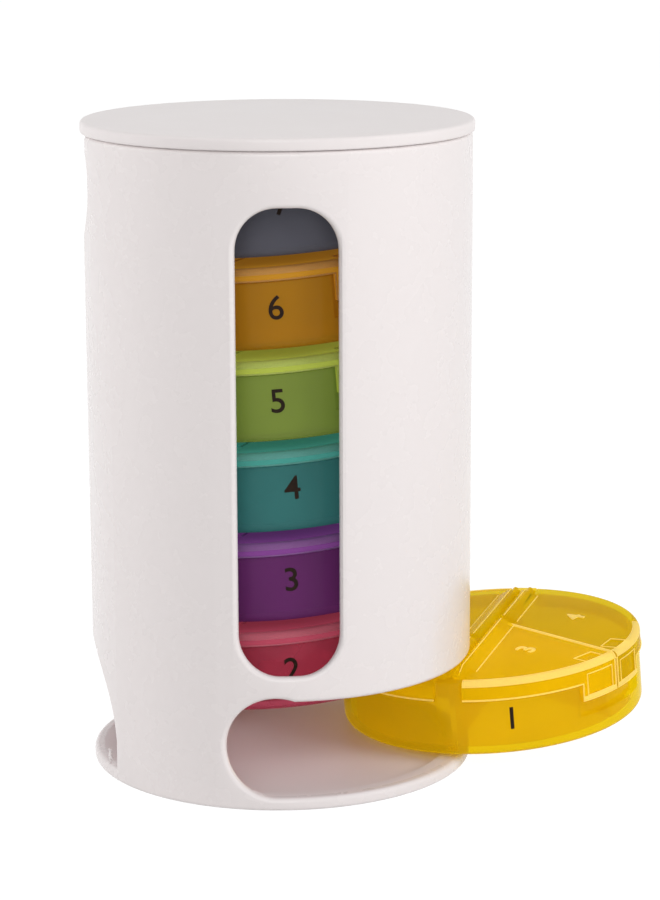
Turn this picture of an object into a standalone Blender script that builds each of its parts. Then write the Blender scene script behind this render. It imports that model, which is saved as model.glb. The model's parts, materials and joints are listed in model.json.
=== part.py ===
"""Weekly pill organizer: seven round four-lid trays stacked in an upright tube with a cap.

The tube stands on the XY plane with its axis on Z and its window towards -Y.
The lowest tray is half drawn out to the right, and the stack above leans with it.
"""
import math

import bmesh
import bpy
from mathutils import Matrix, Vector

MM = 0.001

# Trays
TRAY_COUNT = 7
LID_RADIUS = 33.0 * MM
LID_TOP = 16.5 * MM
LID_THICKNESS = 1.3 * MM
LID_EDGE = 1.2 * MM
SKIRT_DEPTH = 4.1 * MM
SKIRT_THICKNESS = 1.3 * MM
TAB_DEPTH = 8.0 * MM
TRAY_STEP_IN = 0.4 * MM
TRAY_FLOOR = 1.2 * MM
TRAY_RIM_THICKNESS = 1.2 * MM
TRAY_CORNER = 1.6 * MM
DIVIDER = 1.2 * MM
POCKET_DEPTH = 7.0 * MM
FIT = 0.3 * MM

# Lid hinges
BARREL_RADIUS = 1.4 * MM
BARREL_RISE = 1.5 * MM
BARREL_GAP = 0.6 * MM
LID_ROOT = 0.3 * MM
PIN_RADIUS = 0.65 * MM
PIN_LENGTH = 1.2 * MM
PIN_CLEARANCE = 0.3 * MM
LUG_THICKNESS = 1.8 * MM
LUG_TRIM = 0.4 * MM
LUG_TOP_BELOW_BARREL = 0.8 * MM
END_LUG_THICKNESS = 3.3 * MM
SPLIT_OFFSET = 6.5 * MM
SPLIT_GAP = 0.9 * MM
SPLIT_BEARING = 70.0
TAB_ANGLE = 18.0
POCKET_MARGIN_ANGLE = 1.5

# Tube
TRAY_PLAY = 5.0 * MM
WALL = 2.0 * MM
RIM_TOP = 2.6 * MM
RIM_WIDTH = 4.7 * MM
DISH_DEPTH = 1.1 * MM
BASE_EDGE = 0.8 * MM
STACK_GAP = 0.5 * MM
FIRST_GAP = 1.0 * MM
SLOT_ROOM = 1.8 * MM
SLOT_SILL = 0.3 * MM
SLOT_START = 1.2 * MM
FINGER_RADIUS = 10.4 * MM
WINDOW_WIDTH = 20.9 * MM
WINDOW_FLAT = 3.9 * MM
WINDOW_ABOVE_SLOT = 5.2 * MM
WINDOW_BELOW_TOP = 11.0 * MM
WINDOW_BEARING = 2.4
ARCH_HALF_WIDTH = 20.0 * MM
ARCH_FLAT = 0.8 * MM
ARCH_ABOVE_SLOT = 4.3 * MM
NOTCH_RADIUS = 10.4 * MM
NOTCH_BELOW_TOP = 10.2 * MM
NOTCH_NECK = 8.1 * MM

# Cap
CAP_OVERHANG = 0.4 * MM
CAP_THICKNESS = 2.3 * MM
CAP_EDGE = 0.8 * MM
CAP_LIP = 0.4 * MM
PLUG_THICKNESS = 1.5 * MM
PLUG_DEPTH = 4.0 * MM

# Pose
TILT = 5.0
DRAWN_PAST_WALL = 10.5 * MM
DRAW_BEARING = 17.0
STACK_PIVOT = 26.0 * MM
PIVOT_HEIGHT = 8.0 * MM
LOWEST_TURN = -19.5
STACK_TURNS = (-26.5, -26.0, -26.0, -31.0, -31.5, -29.0)

# Facets
TUBE_STEPS = 64
TRAY_STEPS = 32
BARREL_SIDES = 8
PIN_SIDES = 6
CORNER_SEGMENTS = 6
MERGE = 0.00001
OVERRUN = 3.0 * MM

# Worked out
BARREL_HEIGHT = LID_TOP + BARREL_RISE - BARREL_RADIUS
BARREL_OFFSET = BARREL_RADIUS + BARREL_GAP / 2
TRAY_HEIGHT = LID_TOP + BARREL_RISE
TRAY_PITCH = TRAY_HEIGHT + STACK_GAP
LID_UNDERSIDE = LID_TOP - LID_THICKNESS
SKIRT_INNER = LID_RADIUS - SKIRT_THICKNESS
TRAY_RADIUS = LID_RADIUS - TRAY_STEP_IN
RIM_OUTER = SKIRT_INNER - FIT
RIM_INNER = RIM_OUTER - TRAY_RIM_THICKNESS
TRAY_RIM_TOP = LID_UNDERSIDE - FIT
SHOULDER = LID_TOP - SKIRT_DEPTH - FIT
LUG_TOP = TRAY_HEIGHT - LUG_TOP_BELOW_BARREL
LUG_HALF_WIDTH = BARREL_OFFSET + BARREL_RADIUS - LUG_TRIM
LID_SIDE = BARREL_OFFSET + BARREL_RADIUS
END_LUG_INNER = LID_RADIUS - END_LUG_THICKNESS
BARREL_END = END_LUG_INNER - FIT
INNER_RADIUS = LID_RADIUS + TRAY_PLAY
OUTER_RADIUS = INNER_RADIUS + WALL
DISH_RADIUS = OUTER_RADIUS - RIM_WIDTH
DISH_FLOOR = RIM_TOP - DISH_DEPTH
HOME_HEIGHT = RIM_TOP + FIT
SECOND_HEIGHT = HOME_HEIGHT + TRAY_HEIGHT + FIRST_GAP
STACK_TOP = SECOND_HEIGHT + TRAY_PITCH * (TRAY_COUNT - 2) + TRAY_HEIGHT
TUBE_TOP = STACK_TOP + FIT
CAP_BOTTOM = TUBE_TOP + FIT
CAP_TOP = CAP_BOTTOM + CAP_THICKNESS
CAP_RADIUS = OUTER_RADIUS + CAP_OVERHANG
PLUG_OUTER = INNER_RADIUS - FIT
SLOT_TOP = HOME_HEIGHT + TRAY_HEIGHT + SLOT_ROOM
FINGER_HEIGHT = RIM_TOP + FINGER_RADIUS
WINDOW_BOTTOM = SLOT_TOP + WINDOW_ABOVE_SLOT
WINDOW_TOP = TUBE_TOP - WINDOW_BELOW_TOP
WINDOW_CORNER = (WINDOW_WIDTH - WINDOW_FLAT) / 2
ARCH_TOP = SLOT_TOP + ARCH_ABOVE_SLOT
ARCH_CORNER = ARCH_HALF_WIDTH - ARCH_FLAT / 2
NOTCH_HEIGHT = TUBE_TOP - NOTCH_BELOW_TOP
DRAWN_OUT = INNER_RADIUS + DRAWN_PAST_WALL
DRAW_RADIUS = DRAWN_OUT / math.sin(math.radians(TILT))

WHITE = (0.86, 0.84, 0.83, 1.0)
TRAY_COLOURS = (
    ("amber", (0.93, 0.60, 0.02, 1.0)),
    ("red", (0.72, 0.08, 0.14, 1.0)),
    ("purple", (0.20, 0.06, 0.45, 1.0)),
    ("teal", (0.03, 0.42, 0.38, 1.0)),
    ("green", (0.45, 0.62, 0.08, 1.0)),
    ("orange", (0.85, 0.36, 0.02, 1.0)),
    ("grey_blue", (0.20, 0.27, 0.34, 1.0)),
)


def clear_scene():
    for item in list(bpy.data.objects):
        bpy.data.objects.remove(item, do_unlink=True)


def new_collection(name):
    collection = bpy.data.collections.new(name)
    bpy.context.scene.collection.children.link(collection)
    return collection


def plastic(name, colour, roughness, transmission):
    material = bpy.data.materials.new(name)
    material.use_nodes = True
    shader = material.node_tree.nodes["Principled BSDF"]
    shader.inputs["Base Color"].default_value = colour
    shader.inputs["Roughness"].default_value = roughness
    shader.inputs["Metallic"].default_value = 0.0
    shader.inputs["Transmission Weight"].default_value = transmission
    return material


def add_object(name, mesh, collection):
    item = bpy.data.objects.new(name, mesh)
    collection.objects.link(item)
    return item


def add_guide(name, mesh):
    guide = add_object(name, mesh, GUIDES)
    guide.hide_render = True
    guide.display_type = "WIRE"
    return guide


def mesh_from(name, work):
    mesh = bpy.data.meshes.new(name)
    work.to_mesh(mesh)
    work.free()
    return mesh


def block_mesh(name, low, high):
    """A box between two corners."""
    work = bmesh.new()
    bmesh.ops.create_cube(work, size=1.0)
    low, high = Vector(low), Vector(high)
    bmesh.ops.scale(work, vec=high - low, verts=work.verts)
    bmesh.ops.translate(work, vec=(low + high) / 2, verts=work.verts)
    return mesh_from(name, work)


def rod_mesh(name, start, end, radius, sides):
    """A cylinder between two points."""
    start, end = Vector(start), Vector(end)
    along = end - start
    place = Matrix.Translation((start + end) / 2) @ along.to_track_quat("Z", "Y").to_matrix().to_4x4()
    work = bmesh.new()
    bmesh.ops.create_cone(
        work, cap_ends=True, segments=sides, radius1=radius, radius2=radius, depth=along.length, matrix=place
    )
    return mesh_from(name, work)


def rounded_opening_mesh(name, low, high, corner, axis, top_only):
    """A box whose long edges along one axis are rounded, all four or only the upper two."""
    mesh = block_mesh(name, low, high)
    work = bmesh.new()
    work.from_mesh(mesh)
    middle = (low[2] + high[2]) / 2
    edges = []
    for edge in work.edges:
        first, second = edge.verts
        direction = (second.co - first.co).normalized()
        if abs(direction[axis]) > math.cos(math.radians(1.0)) and not (top_only and first.co.z < middle):
            edges.append(edge)
    bmesh.ops.bevel(work, geom=edges, offset=corner, segments=CORNER_SEGMENTS, profile=0.5, affect="EDGES")
    work.to_mesh(mesh)
    work.free()
    return mesh


def turned(name, profile, steps, collection):
    """A solid of revolution about Z from a profile of radius and height pairs."""
    mesh = bpy.data.meshes.new(name)
    points = [(radius, 0.0, height) for radius, height in profile]
    links = [(index, index + 1) for index in range(len(points) - 1)]
    mesh.from_pydata(points, links, [])
    item = add_object(name, mesh, collection)
    screw = item.modifiers.new("turn", "SCREW")
    screw.steps = steps
    screw.render_steps = steps
    screw.use_merge_vertices = True
    screw.merge_threshold = MERGE
    return item


def combine(target, tool, operation):
    boolean = target.modifiers.new(tool.name, "BOOLEAN")
    boolean.operation = operation
    boolean.solver = "EXACT"
    boolean.object = tool


def evaluated_mesh(item, name):
    """The item's shape with its modifiers worked in."""
    bpy.context.view_layer.update()
    depsgraph = bpy.context.evaluated_depsgraph_get()
    mesh = bpy.data.meshes.new_from_object(item.evaluated_get(depsgraph))
    mesh.name = name
    return mesh


def finish(item, material, smooth_angle):
    item.data.materials.clear()
    item.data.materials.append(material)
    item.data.shade_smooth()
    item.data.set_sharp_from_angle(angle=math.radians(smooth_angle))


def bearing_point(radius, bearing, height):
    """A point on a circle, its bearing counted from -Y towards +X."""
    angle = math.radians(bearing)
    return Vector((radius * math.sin(angle), -radius * math.cos(angle), height))


def half_turned(mesh, name):
    """The same shape on the opposite side of the tray."""
    copy = mesh.copy()
    copy.name = name
    copy.transform(Matrix.Rotation(math.pi, 4, "Z"))
    return copy


# Tray


def split_end():
    return bearing_point(LID_RADIUS, SPLIT_BEARING, 0.0)


def split_start():
    return Vector((LID_SIDE, SPLIT_OFFSET, 0.0))


def split_direction():
    return (split_end() - split_start()).normalized()


def tray_profile():
    bend = TRAY_CORNER * (1 - math.sqrt(0.5))
    return (
        (0.0, TRAY_FLOOR),
        (RIM_INNER, TRAY_FLOOR),
        (RIM_INNER, TRAY_RIM_TOP),
        (RIM_OUTER, TRAY_RIM_TOP),
        (RIM_OUTER, SHOULDER),
        (TRAY_RADIUS, SHOULDER),
        (TRAY_RADIUS, TRAY_CORNER),
        (TRAY_RADIUS - bend, bend),
        (TRAY_RADIUS - TRAY_CORNER, 0.0),
        (0.0, 0.0),
    )


def spine_mesh():
    half = DIVIDER / 2
    reach = RIM_INNER + FIT
    low = (-half, -reach, TRAY_FLOOR / 2)
    return block_mesh("spine", low, (half, reach, TRAY_RIM_TOP))


def split_wall_mesh():
    """The wall under the gap between two lids, from the spine to the tray's rim."""
    direction = split_direction()
    start = split_start() - direction * LID_SIDE / direction.x
    end = bearing_point(RIM_INNER + FIT, SPLIT_BEARING, 0.0)
    length = (end - start).length
    half = DIVIDER / 2
    mesh = block_mesh("split_wall", (0.0, -half, TRAY_FLOOR / 2), (length, half, TRAY_RIM_TOP))
    turn = math.atan2(end.y - start.y, end.x - start.x)
    mesh.transform(Matrix.Translation(start) @ Matrix.Rotation(turn, 4, "Z"))
    return mesh


def end_lug_mesh():
    """The post at one end of the hinge line, from the foot of the tray to the barrels."""
    low = (-LUG_HALF_WIDTH, -LID_RADIUS, TRAY_CORNER)
    return block_mesh("end_lug", low, (LUG_HALF_WIDTH, -END_LUG_INNER, LUG_TOP))


def middle_lug_mesh():
    half = LUG_THICKNESS / 2
    low = (0.0, SPLIT_OFFSET - half, TRAY_FLOOR / 2)
    return block_mesh("middle_lug", low, (LUG_HALF_WIDTH, SPLIT_OFFSET + half, LUG_TOP))


def pin_hole_mesh():
    reach = BARREL_END + PIN_LENGTH + PIN_CLEARANCE
    start = (BARREL_OFFSET, -reach, BARREL_HEIGHT)
    end = (BARREL_OFFSET, reach, BARREL_HEIGHT)
    return rod_mesh("pin_hole", start, end, PIN_RADIUS + PIN_CLEARANCE, PIN_SIDES)


def sector_mesh(name, first_bearing, last_bearing, inner, outer, low, high):
    """Part of a ring between two bearings."""
    count = max(2, math.ceil(math.radians(last_bearing - first_bearing) / math.tau * TRAY_STEPS))
    step = (last_bearing - first_bearing) / count
    outline = [bearing_point(outer, first_bearing + step * index, low) for index in range(count + 1)]
    outline += [bearing_point(inner, last_bearing - step * index, low) for index in range(count + 1)]
    return prism_mesh(name, outline, high - low)


def prism_mesh(name, outline, height):
    """A flat outline, counted anticlockwise from above, raised to a height."""
    work = bmesh.new()
    corners = [work.verts.new(point) for point in outline]
    face = work.faces.new(corners)
    raised = bmesh.ops.extrude_face_region(work, geom=[face])["geom"]
    moved = [item for item in raised if isinstance(item, bmesh.types.BMVert)]
    bmesh.ops.translate(work, vec=(0.0, 0.0, height), verts=moved)
    bmesh.ops.recalc_face_normals(work, faces=work.faces)
    return mesh_from(name, work)


def pocket_mesh():
    """The shallow recess that two tabs hang in."""
    first = SPLIT_BEARING - TAB_ANGLE - POCKET_MARGIN_ANGLE
    last = SPLIT_BEARING + TAB_ANGLE + POCKET_MARGIN_ANGLE
    low = SHOULDER - POCKET_DEPTH
    return sector_mesh("pocket", first, last, RIM_OUTER, LID_RADIUS + OVERRUN, low, SHOULDER + FIT)


def tray_mesh():
    shape = turned("tray_shape", tray_profile(), TRAY_STEPS, GUIDES)
    shape.hide_render = True
    shape.display_type = "WIRE"
    combine(shape, add_guide("tray_spine", spine_mesh()), "UNION")
    for mesh in (split_wall_mesh(), end_lug_mesh(), middle_lug_mesh()):
        combine(shape, add_guide(mesh.name + "_a", mesh), "UNION")
        combine(shape, add_guide(mesh.name + "_b", half_turned(mesh, mesh.name + "_b")), "UNION")
    for mesh in (pin_hole_mesh(), pocket_mesh()):
        combine(shape, add_guide(mesh.name + "_a", mesh), "DIFFERENCE")
        combine(shape, add_guide(mesh.name + "_b", half_turned(mesh, mesh.name + "_b")), "DIFFERENCE")
    return evaluated_mesh(shape, "tray")


# Lids


def lid_profile():
    tab_bottom = LID_TOP - TAB_DEPTH
    return (
        (0.0, LID_TOP),
        (LID_RADIUS - LID_EDGE, LID_TOP),
        (LID_RADIUS, LID_TOP - LID_EDGE),
        (LID_RADIUS, tab_bottom),
        (SKIRT_INNER, tab_bottom),
        (SKIRT_INNER, LID_UNDERSIDE),
        (0.0, LID_UNDERSIDE),
    )


def lid_outline(front):
    """The plan of one right-hand lid, in front of the split or behind it."""
    side = -1 if front else 1
    far = LID_RADIUS + OVERRUN
    reach = 2 * LID_RADIUS
    direction = split_direction()
    inner = split_start() + Vector((0.0, side * SPLIT_GAP / 2 / direction.x, 0.0))
    outer = inner + direction * far
    lug = SPLIT_OFFSET + side * (LUG_THICKNESS / 2 + FIT)
    end = side * BARREL_END
    corner = Vector((reach, side * reach, 0.0))
    root = BARREL_OFFSET + LID_ROOT
    points = [
        Vector((root, end, 0.0)),
        Vector((LID_SIDE, end, 0.0)),
        Vector((LID_SIDE, side * reach, 0.0)),
        corner,
        outer,
        inner,
        Vector((LID_SIDE, lug, 0.0)),
        Vector((root, lug, 0.0)),
    ]
    return points if front else points[::-1]


def lid_blank_mesh(name, front):
    outline = [point + Vector((0.0, 0.0, LID_TOP - TAB_DEPTH - OVERRUN)) for point in lid_outline(front)]
    return prism_mesh(name, outline, TAB_DEPTH + 2 * OVERRUN)


def skirt_trim_mesh(name, front):
    """What is cut from under the skirt so that only the tab hangs lower."""
    bottom = LID_TOP - TAB_DEPTH - OVERRUN
    top = LID_TOP - SKIRT_DEPTH
    inner = SKIRT_INNER - OVERRUN
    outer = LID_RADIUS + OVERRUN
    if front:
        return sector_mesh(name, 0.0, SPLIT_BEARING - TAB_ANGLE, inner, outer, bottom, top)
    return sector_mesh(name, SPLIT_BEARING + TAB_ANGLE, 180.0, inner, outer, bottom, top)


def barrel_meshes(name, front):
    side = -1 if front else 1
    near = SPLIT_OFFSET + side * (LUG_THICKNESS / 2 + FIT)
    far = side * BARREL_END
    start = Vector((BARREL_OFFSET, near, BARREL_HEIGHT))
    end = Vector((BARREL_OFFSET, far, BARREL_HEIGHT))
    reach = Vector((0.0, side * PIN_LENGTH, 0.0))
    short = Vector((0.0, side * (LUG_THICKNESS / 2 + FIT - PIN_CLEARANCE), 0.0))
    barrel = rod_mesh(name + "_barrel", start, end, BARREL_RADIUS, BARREL_SIDES)
    pin = rod_mesh(name + "_pin", start - short, end + reach, PIN_RADIUS, PIN_SIDES)
    return barrel, pin


def lid_mesh(name, front):
    shape = turned(name + "_shape", lid_profile(), TRAY_STEPS, GUIDES)
    shape.hide_render = True
    shape.display_type = "WIRE"
    combine(shape, add_guide(name + "_plan", lid_blank_mesh(name + "_plan", front)), "INTERSECT")
    combine(shape, add_guide(name + "_trim", skirt_trim_mesh(name + "_trim", front)), "DIFFERENCE")
    for mesh in barrel_meshes(name, front):
        combine(shape, add_guide(mesh.name, mesh), "UNION")
    mesh = evaluated_mesh(shape, name)
    mesh.transform(Matrix.Translation((-BARREL_OFFSET, 0.0, -BARREL_HEIGHT)))
    return mesh


# Tube and cap


def tube_profile():
    return (
        (0.0, DISH_FLOOR),
        (DISH_RADIUS, DISH_FLOOR),
        (DISH_RADIUS, RIM_TOP),
        (INNER_RADIUS, RIM_TOP),
        (INNER_RADIUS, TUBE_TOP),
        (OUTER_RADIUS, TUBE_TOP),
        (OUTER_RADIUS, BASE_EDGE),
        (OUTER_RADIUS - BASE_EDGE, 0.0),
        (0.0, 0.0),
    )


def window_cutter():
    half = WINDOW_WIDTH / 2
    far = OUTER_RADIUS + OVERRUN
    near = INNER_RADIUS / 2
    low = (-half, -far, WINDOW_BOTTOM)
    high = (half, -near, WINDOW_TOP)
    mesh = rounded_opening_mesh("window", low, high, WINDOW_CORNER, 1, False)
    mesh.transform(Matrix.Rotation(math.radians(WINDOW_BEARING), 4, "Z"))
    return add_guide("window", mesh)


def slot_cutter():
    far = OUTER_RADIUS + OVERRUN
    low = (-SLOT_START, -far, RIM_TOP - SLOT_SILL)
    return add_guide("exit_slot", block_mesh("exit_slot", low, (far, far, SLOT_TOP)))


def finger_cutter():
    far = OUTER_RADIUS + OVERRUN
    start = (-SLOT_START, -far, FINGER_HEIGHT)
    end = (-SLOT_START, far, FINGER_HEIGHT)
    return add_guide("finger_rounds", rod_mesh("finger_rounds", start, end, FINGER_RADIUS, TRAY_STEPS))


def arch_cutter():
    far = OUTER_RADIUS + OVERRUN
    low = (-far, -ARCH_HALF_WIDTH, RIM_TOP - SLOT_SILL)
    high = (-INNER_RADIUS / 2, ARCH_HALF_WIDTH, ARCH_TOP)
    return add_guide("push_arch", rounded_opening_mesh("push_arch", low, high, ARCH_CORNER, 0, True))


def notch_cutters():
    far = OUTER_RADIUS + OVERRUN
    near = INNER_RADIUS / 2
    middle = (-near, 0.0, NOTCH_HEIGHT)
    circle = rod_mesh("notch_round", (-far, 0.0, NOTCH_HEIGHT), middle, NOTCH_RADIUS, TRAY_STEPS)
    neck = block_mesh("notch_neck", (-far, -NOTCH_NECK, NOTCH_HEIGHT), (-near, NOTCH_NECK, TUBE_TOP + OVERRUN))
    return add_guide("notch_round", circle), add_guide("notch_neck", neck)


def make_tube():
    tube = turned("case_body", tube_profile(), TUBE_STEPS, PARTS)
    cutters = [window_cutter(), slot_cutter(), finger_cutter(), arch_cutter()]
    cutters.extend(notch_cutters())
    for cutter in cutters:
        combine(tube, cutter, "DIFFERENCE")
    finish(tube, plastic("white_plastic", WHITE, 0.25, 0.0), 35.0)
    return tube


def cap_profile():
    return (
        (0.0, CAP_TOP),
        (CAP_RADIUS - CAP_EDGE, CAP_TOP),
        (CAP_RADIUS, CAP_TOP - CAP_EDGE),
        (CAP_RADIUS, CAP_BOTTOM + CAP_LIP),
        (CAP_RADIUS - CAP_LIP, CAP_BOTTOM),
        (PLUG_OUTER, CAP_BOTTOM),
        (PLUG_OUTER, CAP_BOTTOM - PLUG_DEPTH),
        (PLUG_OUTER - PLUG_THICKNESS, CAP_BOTTOM - PLUG_DEPTH),
        (PLUG_OUTER - PLUG_THICKNESS, CAP_BOTTOM),
        (0.0, CAP_BOTTOM),
    )


def make_cap():
    profile = [(radius, height - CAP_BOTTOM) for radius, height in cap_profile()]
    cap = turned("cap", profile, TUBE_STEPS, PARTS)
    cap.location = (0.0, 0.0, CAP_BOTTOM)
    finish(cap, plastic("white_cap_plastic", WHITE, 0.3, 0.0), 35.0)
    return cap


# Stack


def draw_direction():
    angle = math.radians(DRAW_BEARING)
    return Vector((math.cos(angle), math.sin(angle), 0.0))


def tilt_axis():
    out = draw_direction()
    return Vector((out.y, -out.x, 0.0))


def tray_home(number):
    """The height of a tray's underside when the whole stack is level."""
    if number == 1:
        return HOME_HEIGHT
    return SECOND_HEIGHT + TRAY_PITCH * (number - 2)


def tray_pivot(number):
    """The point about which a tray leans, and the lowest one is drawn out."""
    if number == 1:
        return Vector((0.0, 0.0, HOME_HEIGHT + DRAW_RADIUS))
    pivot = draw_direction() * STACK_PIVOT
    pivot.z = tray_home(number) + PIVOT_HEIGHT
    return pivot


def add_pivot(number):
    pivot = bpy.data.objects.new(f"tray_{number}_pivot", None)
    PARTS.objects.link(pivot)
    turn = Matrix.Rotation(math.radians(TILT), 4, tilt_axis())
    pivot.matrix_world = Matrix.Translation(tray_pivot(number)) @ turn
    return pivot


def add_child(name, mesh, parent, place):
    item = add_object(name, mesh, PARTS)
    item.parent = parent
    item.matrix_local = place
    return item


def add_tray(number, meshes, material):
    pivot = add_pivot(number)
    turn = LOWEST_TURN if number == 1 else STACK_TURNS[number - 2]
    down = Vector((0.0, 0.0, tray_home(number))) - tray_pivot(number)
    place = Matrix.Translation(down) @ Matrix.Rotation(math.radians(turn), 4, "Z")
    name = f"tray_{number}"
    add_child(name, meshes["tray"].copy(), pivot, place)
    hinge = Matrix.Translation((BARREL_OFFSET, 0.0, BARREL_HEIGHT))
    opposite = Matrix.Rotation(math.pi, 4, "Z")
    add_child(name + "_lid_front_right", meshes["front"].copy(), pivot, place @ hinge)
    add_child(name + "_lid_back_right", meshes["back"].copy(), pivot, place @ hinge)
    add_child(name + "_lid_back_left", meshes["front"].copy(), pivot, place @ opposite @ hinge)
    add_child(name + "_lid_front_left", meshes["back"].copy(), pivot, place @ opposite @ hinge)
    for child in pivot.children:
        finish(child, material, 30.0)


def make_stack():
    meshes = {"tray": tray_mesh(), "front": lid_mesh("lid_front", True), "back": lid_mesh("lid_back", False)}
    for index in range(TRAY_COUNT):
        name, colour = TRAY_COLOURS[index % len(TRAY_COLOURS)]
        add_tray(index + 1, meshes, plastic(name + "_plastic", colour, 0.3, 0.4))


clear_scene()
PARTS = new_collection("weekly_pill_organizer")
GUIDES = new_collection("cutters")
make_tube()
make_cap()
make_stack()
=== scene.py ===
"""The finish of a weekly pill organizer: a white tube with a cap, and seven clear coloured trays.

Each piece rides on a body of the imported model, and the main ones stand for its nodes.
"""
import json
import math

import bmesh
import bpy
from mathutils import Matrix, Vector
from mathutils.geometry import delaunay_2d_cdt


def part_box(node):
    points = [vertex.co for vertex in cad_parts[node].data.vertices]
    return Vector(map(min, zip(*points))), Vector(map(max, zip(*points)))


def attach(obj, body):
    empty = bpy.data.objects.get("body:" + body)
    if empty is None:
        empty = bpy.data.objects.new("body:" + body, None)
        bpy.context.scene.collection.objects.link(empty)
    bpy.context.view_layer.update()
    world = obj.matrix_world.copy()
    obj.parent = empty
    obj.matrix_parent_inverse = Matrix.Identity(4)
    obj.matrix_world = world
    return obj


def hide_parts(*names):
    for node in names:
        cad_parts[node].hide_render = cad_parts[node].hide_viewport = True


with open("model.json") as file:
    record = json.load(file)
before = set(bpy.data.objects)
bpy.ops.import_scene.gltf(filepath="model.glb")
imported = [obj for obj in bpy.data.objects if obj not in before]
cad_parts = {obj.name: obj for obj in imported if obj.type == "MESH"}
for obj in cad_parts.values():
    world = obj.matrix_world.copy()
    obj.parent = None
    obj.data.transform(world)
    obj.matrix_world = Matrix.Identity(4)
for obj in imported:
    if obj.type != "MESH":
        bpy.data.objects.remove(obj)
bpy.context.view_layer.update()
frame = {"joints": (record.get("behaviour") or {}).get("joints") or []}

MM = 0.001

# Tube, in millimetres
OUTER_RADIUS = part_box("case_body")[1][0] / MM
TUBE_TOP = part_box("case_body")[1][2] / MM
WALL = 2.0
INNER_RADIUS = OUTER_RADIUS - WALL
RIM_TOP = 2.6
RIM_WIDTH = 4.7
DISH_DEPTH = 1.1
DISH_EDGE = 0.35
PLATE_ROOT = 0.4
FOOT_EDGE = 0.8
WALL_EDGE = 1.0
INNER_EDGE_SHARE = 0.6
SLOT_TOP = 22.7
SLOT_START = -1.2
FINGER_RADIUS = 10.4
FINGER_HEIGHT = RIM_TOP + FINGER_RADIUS
WINDOW_HALF_WIDTH = 10.45
WINDOW_BOTTOM = 27.9
WINDOW_TOP_MARGIN = 11.0
WINDOW_TOP = TUBE_TOP - WINDOW_TOP_MARGIN
WINDOW_CORNER = 8.5
WINDOW_BEARING = 2.4
ARCH_HALF_WIDTH = 20.0
ARCH_TOP = 27.0
ARCH_CORNER = 19.6
NOTCH_RADIUS = 10.4
NOTCH_DROP = 10.2
NOTCH_HEIGHT = TUBE_TOP - NOTCH_DROP
NOTCH_NECK = 8.1
LEFT_BEARING = -90.0
SEAM_BEARING = -140.0

# Cap
CAP_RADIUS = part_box("cap")[1][0] / MM
CAP_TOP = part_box("cap")[1][2] / MM
CAP_THICKNESS = 2.3
CAP_EDGE = 0.8
CAP_LIP = 0.4
CAP_SETTLE = 0.22
PLUG_FIT = 0.3
PLUG_OUTER = INNER_RADIUS - PLUG_FIT
PLUG_THICKNESS = 1.5
PLUG_DEPTH = 4.0

# Tray
TRAY_COUNT = 7
DRAWN_TRAY = 1
LID_RADIUS = 33.0
LID_TOP = 16.5
LID_THICKNESS = 1.3
LID_EDGE = 1.2
LID_INNER_CORNER = 0.4
SKIRT_DEPTH = {"drawn": 4.1, "stacked": 2.4}
SKIRT_THICKNESS = 1.3
SKIRT_FOOT = 0.4
SKIRT_INNER_FOOT = 0.2
TAB_DEPTH = 8.0
TRAY_RADIUS = 32.6
TRAY_FLOOR = 1.2
TRAY_CORNER = 1.8
POCKET_CORNER = 0.6
BOWL_EDGE = 0.25
RIM_OUTER = 31.4
RIM_INNER = 30.2
RIM_TOP_HEIGHT = 14.9
SHOULDER = {"drawn": 12.1, "stacked": 13.8}
DIVIDER = 1.2
POCKET_DEPTH = 7.0
BARREL_RADIUS = 1.4
BARREL_HEIGHT = 16.6
BARREL_OFFSET = 1.7
BARREL_END = 29.4
PIN_RADIUS = 0.65
PIN_LENGTH = 1.2
LUG_THICKNESS = 1.8
LUG_HALF_WIDTH = 2.7
LUG_TOP = 17.2
LUG_EDGE = 0.2
END_LUG_INNER = 29.7
END_LUG_TOP = 16.4
END_LUG_EDGE = 0.3
FIT = 0.3
SPLIT_OFFSET = 6.5
SPLIT_GAP = 0.9
SPLIT_BEARING = 70.0
LID_SIDE = BARREL_OFFSET + BARREL_RADIUS
TAB_ANGLE = 18.0
TAB_SPLIT_ANGLE = 0.8
TAB_FREE_ANGLE = 1.5
PANEL_MARGIN = 1.1
PANEL_MARGIN_ANGLE = 2.0
PANEL_DEPTH = 0.35
PANEL_TOP = 2.2
THUMB_WIDTH = 5.2
THUMB_INNER = 28.0
THUMB_DEPTH = 0.3
SLOPE_LENGTH = 3.4
SLOPE_ANGLE = 19.0
FLANK_START_ANGLE = 35.0
FLANK_WIDTH = 1.5
FLANK_TOE = 0.08

# Pale lines and bands, painted highlights along the lids' edges
LINE_RADIUS = 0.13
OUTLINE_RADIUS = 0.19
SPLIT_LINE_RADIUS = 0.36
SPLIT_LINE_TURNS = (90.0, 58.5, 27.0, 0.0)
LINE_INSET = 0.12
BAND_REACH = 0.35
BAND_DEPTH = 0.03
# The painted highlight band of a back lid stops at this bearing, short of the side away from the light
BACK_BAND_END = 108.0
TAB_BAND_RISE = 0.35

# Print and marks, each numeral at a bearing and a height on its tray
NUMERAL_HEIGHT = 4.7
NUMERAL_BOLD = 0.05
NUMERAL_PLACES = {
    1: (23.0, 8.0),
    2: (30.0, 8.6),
    3: (29.6, 8.8),
    4: (30.2, 9.1),
    5: (30.2, 8.4),
    6: (30.2, 8.6),
    7: (30.2, 10.6),
}
NUMERAL_DEPTH = 0.06
MARK_HEIGHT = 4.4
MARK_DEPTH = 0.25
MARK_BOLD = 0.05
CAPITAL_SHARE = 0.69
MARK_PLACES = {"front": (11.5, -11.0), "back": (16.5, 11.6)}
MARK_TURN = 70.0
MARK_SINK = 0.02

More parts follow.
